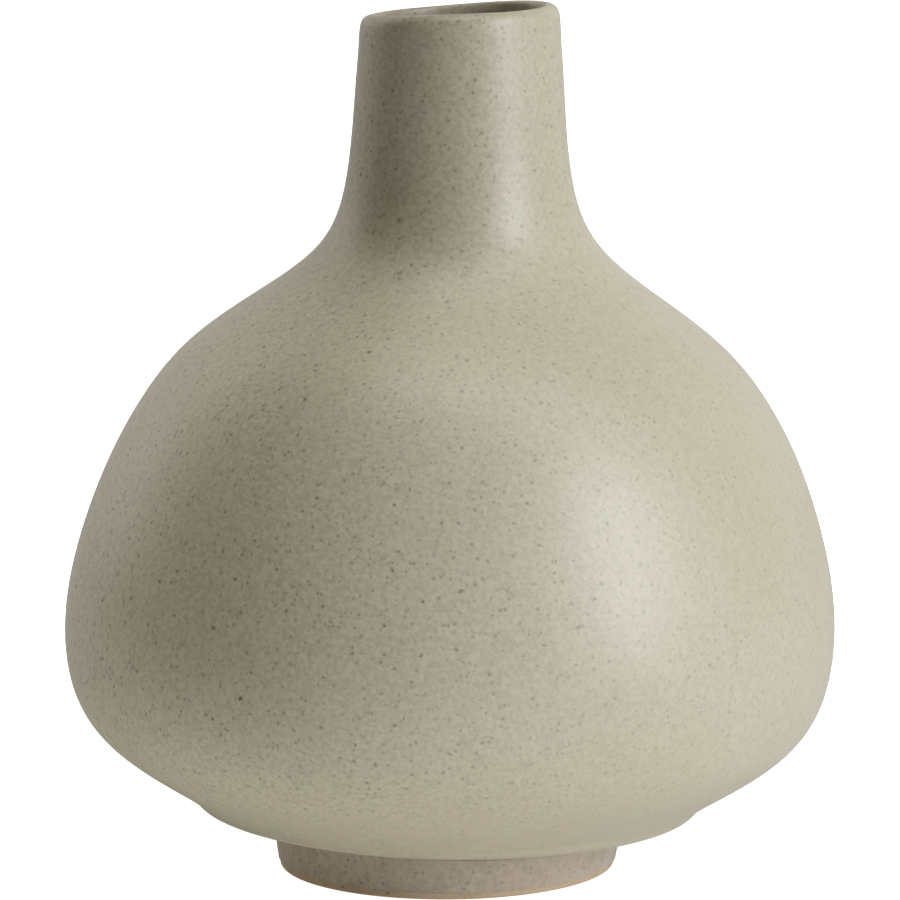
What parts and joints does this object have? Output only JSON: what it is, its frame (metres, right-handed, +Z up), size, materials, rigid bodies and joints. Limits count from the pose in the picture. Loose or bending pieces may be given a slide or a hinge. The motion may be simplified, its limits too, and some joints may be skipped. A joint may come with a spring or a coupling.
{
  "type": "bud vase",
  "caption": "Low round stoneware bud vase with a narrow neck, slanting rolled lip, soft ledge under the belly and flaring foot ring.",
  "frame": {"origin": "centre of the foot's resting face", "axes": "+Z up along the vase; +X to the right of the vase's front, the way its neck leans; -Y is the front"},
  "size_m": [0.1404, 0.1404, 0.1584],
  "materials": {
    "bare_stoneware": "matte, unglazed, fired tan",
    "stoneware_body": "matte, unglazed, covered by glaze",
    "speckled_glaze": "satin, warm grey with fine iron speckles",
    "liner_glaze": "satin, warm grey, poured",
    "foot_glaze": "thin satin, brown where the clay shows through",
    "recess_glaze": "thin satin, brownish grey"
  },
  "bodies": {
    "root": {"foot_ring": "bare_stoneware", "base_dish": "stoneware_body", "lower_bowl": "stoneware_body", "upper_bowl": "stoneware_body", "neck": "stoneware_body", "outer_glaze": "speckled_glaze", "liner_glaze": "liner_glaze", "foot_glaze": "foot_glaze", "recess_glaze": "recess_glaze"}
  },
  "joints": []
}
